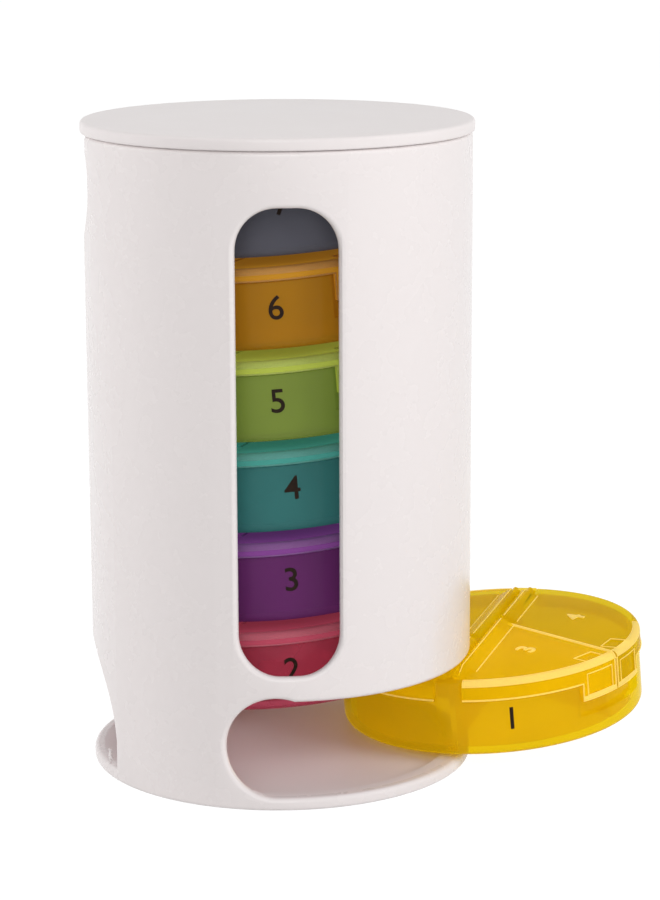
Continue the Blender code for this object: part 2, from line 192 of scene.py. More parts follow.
# Flash
FOOT_FLASH = {"Width": 0.9, "Length": 3.2, "Count": 26, "Smallest": 0.12, "Largest": 0.34, "Seed": 4}
FOOT_FLASH_BEARING = -63.5
FOOT_FLASH_HEIGHT = 4.6
LUG_FLASH = {"Width": 2.6, "Length": 2.4, "Count": 18, "Smallest": 0.15, "Largest": 0.42}
LUG_FLASH_HEIGHT = 2.4

# Facets
STEPS = 192
TRAY_STEPS = 128
ARC_STEPS = 6
EDGE_STEPS = 2
END_LUG_EDGE_STEPS = 3
BAND_STEPS = 5
WALL_STRIPS = 180
OUTLINE_STEP = 0.9
BARREL_SIDES = 28
PIN_HOLE_SIDES = 20
PIN_SIDES = 16
CRUMB_DIVISIONS = 2
BEAD_ROUNDNESS = 1
LETTER_STEPS = 6
SHARP_ANGLE = 35.0
EDGE_ANGLE = 60.0

# Working allowances
OVERRUN = 3.0
SEAM_REACH = 0.001
WALL_MERGE = 0.0001
SHEET_MERGE = 0.00001

# A lid's kind, whether it is turned round, its mark, and whether its tint is plain or painted darker as shade
LIDS = {
    "front_right": ("front", False, 3, "pale"),
    "back_right": ("back", False, 4, "painted_shade"),
    "back_left": ("front", True, 2, "painted_shade"),
    "front_left": ("back", True, 1, "pale"),
}

# Each tray's colour, the tints of its lids and its bowl, and how much the painted highlights along its edges
# glow
TRAY_PLASTICS = {
    1: ("amber", (0.865, 0.65, 0.006), (0.765, 0.557, 0.005), 0.24),
    2: ("red", (0.64, 0.12, 0.19), (0.57, 0.09, 0.15), 0.02),
    3: ("purple", (0.33, 0.10, 0.40), (0.26, 0.06, 0.26), 0.0),
    4: ("teal", (0.11, 0.46, 0.40), (0.09, 0.33, 0.32), 0.0),
    5: ("green", (0.58, 0.66, 0.12), (0.38, 0.48, 0.11), 0.0),
    6: ("orange", (0.67, 0.35, 0.035), (0.62, 0.33, 0.025), 0.0),
    7: ("grey_blue", (0.24, 0.25, 0.30), (0.20, 0.20, 0.24), 0.0),
}
LID_CLEAR = {"drawn": 0.72, "stacked": 0.45}
# Painted glow: the lid and bowl plastics give off light in their own tint, though they are no lamps
LID_PAINTED_GLOW = {"drawn": 0.12, "stacked": 0.15}
BOWL_CLEAR = {"drawn": 0.78, "stacked": 0.62}
# The bowls' painted glow
BOWL_PAINTED_GLOW = {"drawn": 0.12, "stacked": 0.06}
# The back lids' tint is darkened by this share: painted shade
PAINTED_SHADE_SHARE = 0.81

# A noise is its scale per metre and its detail, and a bump also its strength and its depth in metres
NOISE_LOW = 0.3
NOISE_HIGH = 0.7

# Clear plastic
CLEAR_CLOUD = (70.0, 3.0)
CLEAR_SHARE = 0.93
CLEAR_RUBBING = (240.0, 3.0)
CLEAR_ROUGHNESS = (0.10, 0.18)
CLEAR_BEND = 1.03
CLEAR_WAVES = (90.0, 2.0, 0.06, 0.0004)
CLEAR_GRAIN = (1900.0, 2.0, 0.05, 0.00004)
BOWL_GLOSS = 0.1
COAT_ROUGHNESS = 0.1

# Frosted marks, and the painted highlights of the pale edge lines
MARK_AND_HIGHLIGHT_PALENESS = {"drawn": 0.2, "stacked": 0.1}
EDGE_CLEAR = 0.45
EDGE_SHARE = 0.9
EDGE_ROUGHNESS = (0.4, 0.6)
EDGE_BEND = 1.15
EDGE_GRAIN = (3200.0, 3.0)
EDGE_BUMP = (0.3, 0.00006)

# White plastic, of three finishes that each have a roughness and an index of refraction
TUBE_WHITE = (0.84, 0.79, 0.785)
WHITE_CLOUD = (14.0, 2.0)
WHITE_SHARE = 0.99
WHITE_RUBBING = (160.0, 4.0)
RUBBED = 0.02
WHITE_WAVES = (30.0, 1.0, 0.01, 0.0003)
WHITE_GRAIN = (1500.0, 1.0, 0.02, 0.00002)
SATIN_WHITE = (0.27, 1.45)
MATT_WHITE = (0.36, 1.45)
DULL_WHITE = (0.5, 1.2)

# Ink
INK = (0.028, 0.016, 0.01)
INK_PATCH = (2200.0, 3.0)
INK_SHARE = 0.5
INK_ROUGHNESS = (0.5, 0.7)
INK_BEND = 1.2

# Lamps, each with its place, its size, its power and whether the plastic mirrors it
LAMPS = {
    "right_softbox": ((1.0, -0.5, 0.6), 0.7, 7.0, False),
    "left_softbox": ((-1.0, 0.15, 0.4), 0.6, 4.6, False),
    "front_softbox": ((-0.1, -1.1, 0.6), 0.8, 3.7, True),
}
LAMP_TARGET = (0.0, 0.0, 0.06)

# Room and floor
WHITE = (1.0, 1.0, 1.0, 1.0)
ROOM_COLOUR = (1.0, 0.985, 0.98)
ROOM_LIGHT = 0.38
FLOOR_COLOUR = (0.75, 0.75, 0.75)
FLOOR_GLOW = 1.15
FLOOR_GLOW_SHARE = 0.85
FLOOR_ROUGHNESS = 0.9
FLOOR_SIZE = 3.0

# Camera, its angles in radians and its focal length in the photo's pixels
CAMERA_PLACE = (0.0, -0.57868, 0.19312)
CAMERA_YAW = 0.0181
CAMERA_PITCH = 0.2170
CAMERA_ROLL = -0.0039
CAMERA_SENSOR = 36.0
CAMERA_FOCAL = 2824.07
CAMERA_NEAR = 0.01
PHOTO_HEIGHT = 900


# Mesh helpers


def placed(name, data):
    """A new object in the scene, at the origin."""
    item = bpy.data.objects.new(name, data)
    bpy.context.scene.collection.objects.link(item)
    return item


def mesh_from(name, work):
    mesh = bpy.data.meshes.new(name)
    work.to_mesh(mesh)
    work.free()
    return mesh


def evenly(first, last, count):
    return [first + (last - first) * index / count for index in range(count + 1)]


def bearing_point(radius, bearing, height=0.0):
    """A point on a circle, its bearing counted from -Y towards +X."""
    angle = math.radians(bearing)
    return Vector((radius * math.sin(angle), -radius * math.cos(angle), height))


def softened(corners):
    """A profile whose corners, each given with a radius, are rounded off."""
    points = []
    for index, (place, radius) in enumerate(corners):
        here = Vector(place)
        if radius == 0:
            points.append(here)
            continue
        before = (Vector(corners[index - 1][0]) - here).normalized()
        after = (Vector(corners[index + 1][0]) - here).normalized()
        half = before.angle(after) / 2
        reach = radius / math.tan(half)
        centre = here + (before + after).normalized() * radius / math.sin(half)
        first = here + before * reach - centre
        last = here + after * reach - centre
        spread = first.angle(last)
        for share in evenly(0.0, 1.0, ARC_STEPS):
            side = math.sin((1 - share) * spread) * first + math.sin(share * spread) * last
            points.append(centre + side / math.sin(spread))
    return points


def turned_mesh(name, profile, steps):
    """A closed solid of revolution about Z from a profile of radius and height."""
    work = bmesh.new()
    chain = [work.verts.new((point[0], 0.0, point[1])) for point in profile]
    edges = [work.edges.new(pair) for pair in zip(chain, chain[1:])]
    bmesh.ops.spin(work, geom=chain + edges, axis=(0, 0, 1), cent=(0, 0, 0), angle=math.tau, steps=steps)
    bmesh.ops.remove_doubles(work, verts=work.verts, dist=SEAM_REACH)
    bmesh.ops.recalc_face_normals(work, faces=work.faces)
    return mesh_from(name, work)


def block_mesh(name, low, high):
    work = bmesh.new()
    bmesh.ops.create_cube(work, size=1.0)
    low, high = Vector(low), Vector(high)
    bmesh.ops.scale(work, vec=high - low, verts=work.verts)
    bmesh.ops.translate(work, vec=(low + high) / 2, verts=work.verts)
    return mesh_from(name, work)


def rod_mesh(name, start, end, radius, sides):
    start, end = Vector(start), Vector(end)
    along = end - start
    place = Matrix.Translation((start + end) / 2) @ along.to_track_quat("Z", "Y").to_matrix().to_4x4()
    work = bmesh.new()
    bmesh.ops.create_cone(
        work, cap_ends=True, segments=sides, radius1=radius, radius2=radius, depth=along.length, matrix=place
    )
    return mesh_from(name, work)


def prism_mesh(name, outline, height):
    work = bmesh.new()
    corners = [work.verts.new(point) for point in outline]
    face = work.faces.new(corners)
    raised = bmesh.ops.extrude_face_region(work, geom=[face])["geom"]
    moved = [item for item in raised if isinstance(item, bmesh.types.BMVert)]
    bmesh.ops.translate(work, vec=(0.0, 0.0, height), verts=moved)
    bmesh.ops.recalc_face_normals(work, faces=work.faces)
    return mesh_from(name, work)


def sector_mesh(name, first, last, inner, outer, low, high):
    count = max(2, math.ceil((last - first) / 360 * TRAY_STEPS))
    bearings = evenly(first, last, count)
    outline = [bearing_point(outer, bearing, low) for bearing in bearings]
    outline += [bearing_point(inner, bearing, low) for bearing in reversed(bearings)]
    return prism_mesh(name, outline, high - low)


def half_turned(mesh):
    copy = mesh.copy()
    copy.transform(Matrix.Rotation(math.pi, 4, "Z"))
    return copy


def applied(item):
    """The item's shape with its modifiers worked in, and the item itself removed."""
    bpy.context.view_layer.update()
    depsgraph = bpy.context.evaluated_depsgraph_get()
    mesh = bpy.data.meshes.new_from_object(item.evaluated_get(depsgraph))
    mesh.name = item.name
    bpy.data.objects.remove(item)
    return mesh


def combined(name, mesh, steps):
    """A mesh after a list of cuts and joins, each an operation and another mesh."""
    item = placed(name, mesh)
    tools = []
    for operation, other in steps:
        tool = placed(name + "_tool", other)
        boolean = item.modifiers.new("boolean", "BOOLEAN")
        boolean.operation = operation
        boolean.solver = "EXACT"
        boolean.object = tool
        tools.append(tool)
    result = applied(item)
    for tool in tools:
        bpy.data.objects.remove(tool)
    return result


def edged(mesh, width, steps):
    """The mesh with its sharp edges rounded."""
    item = placed(mesh.name, mesh)
    bevel = item.modifiers.new("edge", "BEVEL")
    bevel.width = width
    bevel.segments = steps
    bevel.limit_method = "ANGLE"
    bevel.angle_limit = math.radians(EDGE_ANGLE)
    return applied(item)


def joined(name, meshes):
    """Several meshes as one, each a closed shell."""
    work = bmesh.new()
    for mesh in meshes:
        work.from_mesh(mesh)
    return mesh_from(name, work)


def sewn(mesh):
    """The mesh with the ends and sides of its shells sewn together."""
    work = bmesh.new()
    work.from_mesh(mesh)
    bmesh.ops.remove_doubles(work, verts=work.verts, dist=SEAM_REACH)
    bmesh.ops.dissolve_degenerate(work, edges=work.edges, dist=SEAM_REACH)
    bmesh.ops.recalc_face_normals(work, faces=work.faces)
    return mesh_from(mesh.name, work)


def piece(name, mesh, body, nodes, material):
    """Adds a finished piece: it rides on a body and stands for the nodes given."""
    mesh.materials.clear()
    mesh.materials.append(material)
    mesh.shade_smooth()
    mesh.set_sharp_from_angle(angle=math.radians(SHARP_ANGLE))
    item = placed(name, mesh)
    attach(item, body)
    if nodes:
        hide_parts(*nodes)


# Tube wall, laid flat, cut out and rolled up


def across(bearing, middle=0.0):
    """How far a point of the wall is to the side of a bearing, seen straight on."""
    return OUTER_RADIUS * math.sin(math.radians(bearing - middle))


def bearing_of(side, middle=0.0):
    return middle + math.degrees(math.asin(side / OUTER_RADIUS))


def rounded_box_distance(side, height, half, low, high, corner):
    middle = (low + high) / 2
    out_side = abs(side) - half + corner
    out_height = abs(height - middle) - (high - low) / 2 + corner
    outside = math.hypot(max(out_side, 0), max(out_height, 0))
    return outside + min(max(out_side, out_height), 0) - corner


def window_distance(bearing, height):
    if abs(bearing) > 90:
        return OUTER_RADIUS
    side = across(bearing, WINDOW_BEARING)
    return rounded_box_distance(side, height, WINDOW_HALF_WIDTH, WINDOW_BOTTOM, WINDOW_TOP, WINDOW_CORNER)


def slot_distance(bearing, height):
    side = across(bearing)
    band = max(SLOT_START - side, RIM_TOP - height, height - SLOT_TOP)
    finger = math.hypot(side - SLOT_START, height - FINGER_HEIGHT) - FINGER_RADIUS
    return min(band, finger)


def on_the_left(bearing):
    return -180 < bearing < 0


def arch_distance(bearing, height):
    if not on_the_left(bearing):
        return OUTER_RADIUS
    side = across(bearing, LEFT_BEARING)
    top = rounded_box_distance(side, height, ARCH_HALF_WIDTH, -ARCH_TOP, ARCH_TOP, ARCH_CORNER)
    return max(top, RIM_TOP - height)


def notch_distance(bearing, height):
    if not on_the_left(bearing):
        return OUTER_RADIUS
    side = across(bearing, LEFT_BEARING)
    ring = math.hypot(side, height - NOTCH_HEIGHT) - NOTCH_RADIUS
    neck = max(abs(side) - NOTCH_NECK, NOTCH_HEIGHT - height)
    return min(ring, neck)


def opening_distance(bearing, height):
    """How far a point of the wall lies from the nearest opening; below zero is inside one."""
    shapes = (window_distance, slot_distance, arch_distance, notch_distance)
    return min(shape(bearing, height) for shape in shapes)


def arc_points(centre, radius, first, last):
    count = max(2, math.ceil(abs(last - first) / 360 * math.tau * radius / OUTLINE_STEP))
    angles = [math.radians(angle) for angle in evenly(first, last, count)]
    return [(centre[0] + radius * math.cos(angle), centre[1] + radius * math.sin(angle)) for angle in angles]


def window_outline(grow):
    half = WINDOW_HALF_WIDTH - WINDOW_CORNER
    low = WINDOW_BOTTOM + WINDOW_CORNER
    high = WINDOW_TOP - WINDOW_CORNER
    radius = WINDOW_CORNER + grow
    points = arc_points((half, low), radius, -90, 0) + arc_points((half, high), radius, 0, 90)
    points += arc_points((-half, high), radius, 90, 180) + arc_points((-half, low), radius, 180, 270)
    return [(bearing_of(side, WINDOW_BEARING), height) for side, height in points]


def slot_outline(grow):
    radius = FINGER_RADIUS + grow
    top = math.degrees(math.asin((SLOT_TOP - FINGER_HEIGHT + grow) / radius))
    finger = arc_points((SLOT_START, FINGER_HEIGHT), radius, 270, top)
    front = [(bearing_of(side), height) for side, height in finger]
    back = [(180 - bearing, height) for bearing, height in reversed(front)]
    return front + back


def arch_outline(grow):
    half = ARCH_HALF_WIDTH - ARCH_CORNER
    low = RIM_TOP - grow
    centre = ARCH_TOP - ARCH_CORNER
    radius = ARCH_CORNER + grow
    points = [(ARCH_HALF_WIDTH + grow, low)]
    points += arc_points((half, centre), radius, 0, 90) + arc_points((-half, centre), radius, 90, 180)
    points += [(-ARCH_HALF_WIDTH - grow, low)]
    return [(bearing_of(side, LEFT_BEARING), height) for side, height in points]


def notch_outline(grow):
    radius = NOTCH_RADIUS + grow
    neck = math.degrees(math.acos((NOTCH_NECK + grow) / radius))
    points = [(NOTCH_NECK + grow, TUBE_TOP)] + arc_points((0.0, NOTCH_HEIGHT), radius, neck, -180 - neck)
    points += [(-NOTCH_NECK - grow, TUBE_TOP)]
    return [(bearing_of(side, LEFT_BEARING), height) for side, height in points]


def edge_drop(distance, radius):
    """How far a rounded edge falls back at a distance from it."""
    if distance >= radius:
        return 0.0
    return radius - math.sqrt(max(radius ** 2 - (radius - distance) ** 2, 0.0))


def wall_drop(bearing, height):
    near = max(min(opening_distance(bearing, height), TUBE_TOP - height), 0.0)
    return max(edge_drop(near, WALL_EDGE), edge_drop(height, FOOT_EDGE))


def wall_sheet():
    """The wall laid flat, as bearings and heights: its points and the triangles that are kept."""
    points = []
    edges = []

    def add_line(line, closed):
        start = len(points)
        points.extend(Vector(point) for point in line)
        edges.extend((index, index + 1) for index in range(start, len(points) - 1))
        if closed:
            edges.append((len(points) - 1, start))

    first, last = SEAM_BEARING, SEAM_BEARING + 360
    for bearing in evenly(first, last, WALL_STRIPS):
        add_line([(bearing, 0.0), (bearing, TUBE_TOP)], False)
    for turn in evenly(0.0, math.pi / 2, ARC_STEPS):
        ring = WALL_EDGE * (1 - math.cos(turn))
        add_line(window_outline(ring), True)
        add_line(slot_outline(ring), True)
        add_line(arch_outline(ring), True)
        add_line(notch_outline(ring), False)
        add_line([(first, TUBE_TOP - ring), (last, TUBE_TOP - ring)], False)
        add_line([(first, ring * FOOT_EDGE / WALL_EDGE), (last, ring * FOOT_EDGE / WALL_EDGE)], False)
    flat, _, faces, _, _, _ = delaunay_2d_cdt(points, edges, [], 0, SHEET_MERGE, True)
    kept = []
    for face in faces:
        bearing = sum(flat[index][0] for index in face) / len(face)
        height = sum(flat[index][1] for index in face) / len(face)
        if opening_distance(bearing, height) > 0:
            kept.append(face)
    return flat, kept


def tube_wall_mesh():
    flat, faces = wall_sheet()
    work = bmesh.new()
    outer = []
    inner = []
    on_seam = set()
    for bearing, height in flat:
        drop = wall_drop(bearing, height)
        inner_drop = drop * INNER_EDGE_SHARE if height > RIM_TOP + WALL_EDGE else 0.0
        outer.append(work.verts.new(bearing_point(OUTER_RADIUS - drop, bearing, height)))
        inner.append(work.verts.new(bearing_point(INNER_RADIUS + inner_drop, bearing, height)))
        if abs(bearing - SEAM_BEARING - 180) > 180 - SEAM_REACH:
            on_seam.add(outer[-1])
    for face in faces:
        work.faces.new([outer[index] for index in face])
        work.faces.new([inner[index] for index in reversed(face)])
    loose = [vert for vert in work.verts if not vert.link_faces]
    bmesh.ops.delete(work, geom=loose, context="VERTS")
    partner = dict(zip(outer, inner))
    open_edges = [edge for edge in work.edges if len(edge.link_faces) == 1]
    for edge in open_edges:
        a, b = edge.link_loops[0].vert, edge.link_loops[0].link_loop_next.vert
        if a in partner and not (a in on_seam and b in on_seam):
            work.faces.new((b, a, partner[a], partner[b]))
    bmesh.ops.remove_doubles(work, verts=work.verts, dist=WALL_MERGE)
    bmesh.ops.recalc_face_normals(work, faces=work.faces)
    return mesh_from("tube_wall", work)


def base_plate_mesh():
    dish = OUTER_RADIUS - RIM_WIDTH
    floor = RIM_TOP - DISH_DEPTH
    profile = softened((
        ((0.0, floor), 0),
        ((dish, floor), DISH_EDGE),
        ((dish, RIM_TOP), DISH_EDGE),
        ((INNER_RADIUS, RIM_TOP), 0),
        ((INNER_RADIUS + PLATE_ROOT, RIM_TOP - PLATE_ROOT), 0),
        ((INNER_RADIUS + PLATE_ROOT, PLATE_ROOT), 0),
        ((INNER_RADIUS, 0.0), 0),
        ((0.0, 0.0), 0),
    ))
    return turned_mesh("base_plate", profile, STEPS)


def cap_mesh():
    bottom = CAP_TOP - CAP_THICKNESS - CAP_SETTLE
    plug_inner = PLUG_OUTER - PLUG_THICKNESS
    profile = softened((
        ((0.0, CAP_TOP), 0),
        ((CAP_RADIUS, CAP_TOP), CAP_EDGE),
        ((CAP_RADIUS, bottom), CAP_LIP),
        ((PLUG_OUTER, bottom), 0),
        ((PLUG_OUTER, bottom - PLUG_DEPTH), CAP_LIP),
        ((plug_inner, bottom - PLUG_DEPTH), CAP_LIP),
        ((plug_inner, bottom), CAP_LIP),
        ((0.0, bottom), 0),
    ))
    return turned_mesh("cap", profile, STEPS)


# Tray bowl


def split_start():
    return Vector((LID_SIDE, SPLIT_OFFSET, 0.0))


def split_direction():
    return (bearing_point(LID_RADIUS, SPLIT_BEARING) - split_start()).normalized()


def bowl_blank_mesh(state):
    profile = softened((
        ((0.0, TRAY_FLOOR), 0),
        ((RIM_INNER, TRAY_FLOOR), POCKET_CORNER),
        ((RIM_INNER, RIM_TOP_HEIGHT), BOWL_EDGE),
        ((RIM_OUTER, RIM_TOP_HEIGHT), BOWL_EDGE),
        ((RIM_OUTER, SHOULDER[state]), 0),
        ((TRAY_RADIUS, SHOULDER[state]), BOWL_EDGE),
        ((TRAY_RADIUS, 0.0), TRAY_CORNER),
        ((0.0, 0.0), 0),
    ))
    return turned_mesh("bowl", profile, TRAY_STEPS)


def spine_mesh():
    half = DIVIDER / 2
    reach = RIM_INNER + FIT
    return block_mesh("spine", (-half, -reach, TRAY_FLOOR / 2), (half, reach, RIM_TOP_HEIGHT))


def split_wall_mesh():
    direction = split_direction()
    start = split_start() - direction * LID_SIDE / direction.x
    end = bearing_point(RIM_INNER + FIT, SPLIT_BEARING)
    half = DIVIDER / 2
    high = ((end - start).length, half, RIM_TOP_HEIGHT)
    mesh = block_mesh("split_wall", (0.0, -half, TRAY_FLOOR / 2), high)
    turn = math.atan2(end.y - start.y, end.x - start.x)
    mesh.transform(Matrix.Translation(start) @ Matrix.Rotation(turn, 4, "Z"))
    return mesh


def end_lug_mesh():
    low = (-LUG_HALF_WIDTH, -LID_RADIUS, TRAY_CORNER)
    mesh = block_mesh("end_lug", low, (LUG_HALF_WIDTH, -END_LUG_INNER, END_LUG_TOP))
    return edged(mesh, END_LUG_EDGE, END_LUG_EDGE_STEPS)


def middle_lug_mesh():
    half = LUG_THICKNESS / 2
    low = (0.0, SPLIT_OFFSET - half, TRAY_FLOOR / 2)
    mesh = block_mesh("middle_lug", low, (LUG_HALF_WIDTH, SPLIT_OFFSET + half, LUG_TOP))
    return edged(mesh, LUG_EDGE, EDGE_STEPS)


def pin_hole_mesh():
    reach = BARREL_END + PIN_LENGTH + FIT
    start = (BARREL_OFFSET, -reach, BARREL_HEIGHT)
    end = (BARREL_OFFSET, reach, BARREL_HEIGHT)
    return rod_mesh("pin_hole", start, end, PIN_RADIUS + FIT, PIN_HOLE_SIDES)


def pocket_mesh(state):
    """The hollow in a bowl's side that takes the tabs of two lids."""
    first = SPLIT_BEARING - TAB_ANGLE - TAB_FREE_ANGLE
    last = SPLIT_BEARING + TAB_ANGLE + TAB_FREE_ANGLE
    low = SHOULDER["drawn"] - POCKET_DEPTH
    return sector_mesh("pocket", first, last, RIM_OUTER, LID_RADIUS + OVERRUN, low, SHOULDER[state] + FIT)


def bowl_mesh(state):
    steps = [("UNION", spine_mesh())]
    for mesh in (split_wall_mesh(), end_lug_mesh(), middle_lug_mesh()):
        steps += [("UNION", mesh), ("UNION", half_turned(mesh))]
    for mesh in (pin_hole_mesh(), pocket_mesh(state)):
        steps += [("DIFFERENCE", mesh), ("DIFFERENCE", half_turned(mesh))]
    return combined("bowl", bowl_blank_mesh(state), steps)


# Lids, a front one towards -Y and a back one towards +Y


def end_sign(front):
    return -1 if front else 1


def split_inner(front):
    """The inner corner of a lid's edge along the split."""
    return split_start() + Vector((0.0, end_sign(front) * SPLIT_GAP / 2 / split_direction().x, 0.0))


def barrel_span(front):
    """The two ends of a lid's barrel along the hinge line."""
    side = end_sign(front)
    return SPLIT_OFFSET + side * (LUG_THICKNESS / 2 + FIT), side * BARREL_END


def lid_blank_mesh():
    tab_bottom = LID_TOP - TAB_DEPTH
    profile = softened((
        ((0.0, LID_TOP), 0),
        ((LID_RADIUS, LID_TOP), LID_EDGE),
        ((LID_RADIUS, tab_bottom), SKIRT_FOOT),
        ((LID_RADIUS - SKIRT_THICKNESS, tab_bottom), SKIRT_INNER_FOOT),
        ((LID_RADIUS - SKIRT_THICKNESS, LID_TOP - LID_THICKNESS), LID_INNER_CORNER),
        ((0.0, LID_TOP - LID_THICKNESS), 0),
    ))
    return turned_mesh("lid", profile, TRAY_STEPS)


def lid_outline(front):
    """The plan of a lid between its hinge line and the split, with room beyond the rim."""
    near, far = barrel_span(front)
    root = BARREL_OFFSET + FIT
    outside = 2 * LID_RADIUS
    inner = split_inner(front)
    points = [
        Vector((root, far, 0.0)),
        Vector((LID_SIDE, far, 0.0)),
        Vector((LID_SIDE, end_sign(front) * outside, 0.0)),
        Vector((outside, end_sign(front) * outside, 0.0)),
        inner + split_direction() * (LID_RADIUS + OVERRUN),
        inner,
        Vector((LID_SIDE, near, 0.0)),
        Vector((root, near, 0.0)),
    ]
    return points if front else points[::-1]


def lid_plan_mesh(front):
    lift = Vector((0.0, 0.0, LID_TOP - TAB_DEPTH - OVERRUN))
    outline = [point + lift for point in lid_outline(front)]
    return prism_mesh("lid_plan", outline, TAB_DEPTH + 2 * OVERRUN)


def tab_edge(front):
    """The bearing where a lid's tab meets its skirt."""
    return SPLIT_BEARING + end_sign(front) * TAB_ANGLE


def skirt_trim_mesh(front, state):
    span = (0.0, tab_edge(front)) if front else (tab_edge(front), 180.0)
    inner, outer = LID_RADIUS - SKIRT_THICKNESS - OVERRUN, LID_RADIUS + OVERRUN
    low, high = LID_TOP - TAB_DEPTH - OVERRUN, LID_TOP - SKIRT_DEPTH[state]
    return sector_mesh("skirt_trim", *span, inner, outer, low, high)


def pin_mesh(front):
    side = end_sign(front)
    near, far = barrel_span(front)
    start = (BARREL_OFFSET, near - side * LUG_THICKNESS / 2, BARREL_HEIGHT)
    end = (BARREL_OFFSET, far + side * PIN_LENGTH, BARREL_HEIGHT)
    return rod_mesh("pin", start, end, PIN_RADIUS, PIN_SIDES)


def tab_span(front, margin):
    """The bearings between which a lid's tab lies, drawn in by a margin."""
    if front:
        return SPLIT_BEARING - TAB_ANGLE + margin, SPLIT_BEARING - TAB_SPLIT_ANGLE - margin
    return SPLIT_BEARING + TAB_SPLIT_ANGLE + margin, SPLIT_BEARING + TAB_ANGLE - margin


def tab_panel_mesh(front):
    """The shallow window pressed into the outside of a tab."""
    span = tab_span(front, PANEL_MARGIN_ANGLE)
    inner, outer = LID_RADIUS - PANEL_DEPTH, LID_RADIUS + OVERRUN
    low, high = LID_TOP - TAB_DEPTH + PANEL_MARGIN, LID_TOP - PANEL_TOP
    return sector_mesh("tab_panel", *span, inner, outer, low, high)


def thumb_step_mesh(front):
    """The shallow step pressed into the top of a lid above its tab."""
    first, last = tab_span(front, PANEL_MARGIN_ANGLE)
    half = THUMB_WIDTH / 2
    low = (-half, -LID_RADIUS - OVERRUN, LID_TOP - THUMB_DEPTH)
    mesh = block_mesh("thumb_step", low, (half, -THUMB_INNER, LID_TOP + OVERRUN))
    mesh.transform(Matrix.Rotation(math.radians((first + last) / 2), 4, "Z"))
    return mesh


def barrel_mesh(front):
    """The barrel, with its outer end sloped down towards the rim."""
    side = end_sign(front)
    near, far = barrel_span(front)
    ends = [(BARREL_OFFSET, end, BARREL_HEIGHT) for end in (near, far)]
    barrel = rod_mesh("barrel", *ends, BARREL_RADIUS, BARREL_SIDES)
    slope = block_mesh("slope", (-LID_SIDE, 0.0, 0.0), (LID_SIDE, SLOPE_LENGTH + OVERRUN, OVERRUN))
    if front:
        slope = half_turned(slope)
    tilt = Matrix.Rotation(-side * math.radians(SLOPE_ANGLE), 4, "X")
    top = BARREL_HEIGHT + BARREL_RADIUS
    slope.transform(Matrix.Translation((BARREL_OFFSET, far - side * SLOPE_LENGTH, top)) @ tilt)
    return combined("barrel", barrel, [("DIFFERENCE", slope)])


def flank_mesh(front):
    """The slope that leads from a lid up to its barrel."""
    near, far = barrel_span(front)
    far -= end_sign(front) * SLOPE_LENGTH
    turned = math.radians(FLANK_START_ANGLE)
    top = (BARREL_OFFSET + BARREL_RADIUS * math.sin(turned), BARREL_HEIGHT + BARREL_RADIUS * math.cos(turned))
    section = (
        (BARREL_OFFSET, LID_TOP - LID_THICKNESS / 2),
        (LID_SIDE + FLANK_WIDTH, LID_TOP - LID_THICKNESS / 2),
        (LID_SIDE + FLANK_WIDTH, LID_TOP + FLANK_TOE),
        top,
        (BARREL_OFFSET, BARREL_HEIGHT),
    )
    low, high = min(near, far), max(near, far)
    mesh = prism_mesh("flank", [Vector((x, z, 0.0)) for x, z in section], high - low)
    mesh.transform(Matrix.Translation((0.0, high, 0.0)) @ Matrix.Rotation(math.pi / 2, 4, "X"))
    return mesh


def lid_mesh(front, state):
    steps = [
        ("INTERSECT", lid_plan_mesh(front)),
        ("DIFFERENCE", skirt_trim_mesh(front, state)),
        ("DIFFERENCE", tab_panel_mesh(front)),
        ("DIFFERENCE", thumb_step_mesh(front)),
        ("UNION", flank_mesh(front)),
        ("UNION", barrel_mesh(front)),
        ("UNION", pin_mesh(front)),
    ]
    return combined("lid", lid_blank_mesh(), steps)


# Pale lines, painted highlights along the edges of the plastic


def bead_mesh(name, lines, radius):
    """Thin rounded beads along lines of points."""
    curve = bpy.data.curves.new(name, "CURVE")
    curve.dimensions = "3D"
    curve.bevel_depth = radius
    curve.bevel_resolution = BEAD_ROUNDNESS
    curve.use_fill_caps = True
    for line in lines:
        spline = curve.splines.new("POLY")
        spline.points.add(len(line) - 1)
        for point, place in zip(spline.points, line):
            point.co = (*place, 1.0)
    mesh = sewn(applied(placed(name, curve)))
    bpy.data.curves.remove(curve)
    return mesh


def arc_line(radius, first, last, height):
    count = max(2, math.ceil(abs(last - first) / 360 * TRAY_STEPS))
    return [bearing_point(radius, bearing, height) for bearing in evenly(first, last, count)]


def split_point(front, radius, height):
    """Where a lid's edge along the split reaches a radius."""
    start, direction = split_inner(front), split_direction()
    along = start.dot(direction)
    reach = math.sqrt(along ** 2 - start.dot(start) + radius ** 2) - along
    return start + direction * reach + Vector((0.0, 0.0, height))


def lid_arc(front):
    """The bearings of the two ends of a lid's rounded edge."""
    corner = split_point(front, LID_RADIUS, 0.0)
    root = math.degrees(math.asin(LID_SIDE / LID_RADIUS))
    return (root if front else 180 - root), math.degrees(math.atan2(corner.x, -corner.y))


def lid_outline_line(front, state):
    """The pale line along a lid's skirt and its tab, a painted highlight."""
    first, last = lid_arc(front)
    bottom = LID_TOP - TAB_DEPTH + LINE_INSET
    skirt = arc_line(LID_RADIUS, first, tab_edge(front), LID_TOP - SKIRT_DEPTH[state])
    tab = arc_line(LID_RADIUS - LINE_INSET, tab_edge(front), last, bottom)
    return skirt + tab + [split_point(front, LID_RADIUS, height) for height in (bottom, LID_TOP - LID_EDGE)]


def split_line(front):
    """The wide pale line where two lids meet, from the inner corner over the rounded edge, a painted
    highlight.
    """
    line = [split_inner(front) + Vector((0.0, 0.0, LID_TOP))]
    for angle in SPLIT_LINE_TURNS:
        turned = math.radians(angle)
        radius = LID_RADIUS - LID_EDGE * (1 - math.cos(turned))
        line.append(split_point(front, radius, LID_TOP - LID_EDGE * (1 - math.sin(turned))))
    return line


